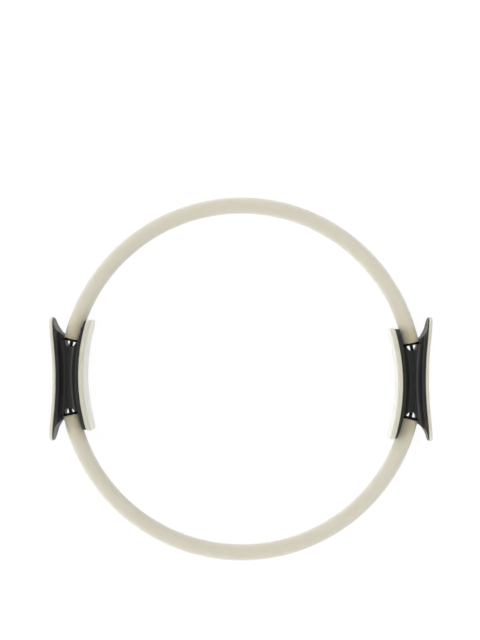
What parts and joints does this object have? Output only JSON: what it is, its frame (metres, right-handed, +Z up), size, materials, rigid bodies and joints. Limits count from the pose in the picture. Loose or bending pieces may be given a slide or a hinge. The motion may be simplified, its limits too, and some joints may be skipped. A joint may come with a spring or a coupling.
{
  "type": "pilates ring",
  "caption": "Round flexible exercise ring in foam sleeves with opposed padded handles, squeezed between hands or legs and springing back.",
  "frame": {"origin": "on the floor under the ring's centre, with the ring lying flat on the side rims of its handles", "axes": "+Z up along the ring's axis, +X from the ring's centre through the right handle, +Y towards the upper half ring"},
  "size_m": [0.375, 0.356, 0.05],
  "materials": {
    "shell_plastic": "semi-gloss black moulded plastic",
    "pad_foam": "matt cream closed-cell foam pad",
    "sleeve_foam": "matt cream foam tube with a fine skin",
    "collar_rubber": "matt black rubber",
    "band_laminate": "satin black glass-fibre laminate",
    "fastener_steel": "zinc-plated steel"
  },
  "bodies": {
    "left_handle": {"upper_band": "band_laminate", "lower_band": "band_laminate", "upper_sleeve": "sleeve_foam", "lower_sleeve": "sleeve_foam", "left_outer_shell": "shell_plastic", "left_inner_shell": "shell_plastic", "left_outer_pad": "pad_foam", "left_inner_pad": "pad_foam", "left_screws": "fastener_steel", "left_nuts": "fastener_steel", "left_upper_collar": "collar_rubber", "left_lower_collar": "collar_rubber"},
    "right_handle": {"right_outer_shell": "shell_plastic", "right_inner_shell": "shell_plastic", "right_outer_pad": "pad_foam", "right_inner_pad": "pad_foam", "right_screws": "fastener_steel", "right_nuts": "fastener_steel", "right_upper_collar": "collar_rubber", "right_lower_collar": "collar_rubber"}
  },
  "joints": [
    {"name": "squeeze", "type": "slide", "parent": "left_handle", "child": "right_handle", "axis": [1, 0, 0], "range_m": [-0.08, 0.03], "stiffness_N_per_m": 1400, "deforming": ["upper_band", "lower_band", "upper_sleeve", "lower_sleeve"]}
  ]
}
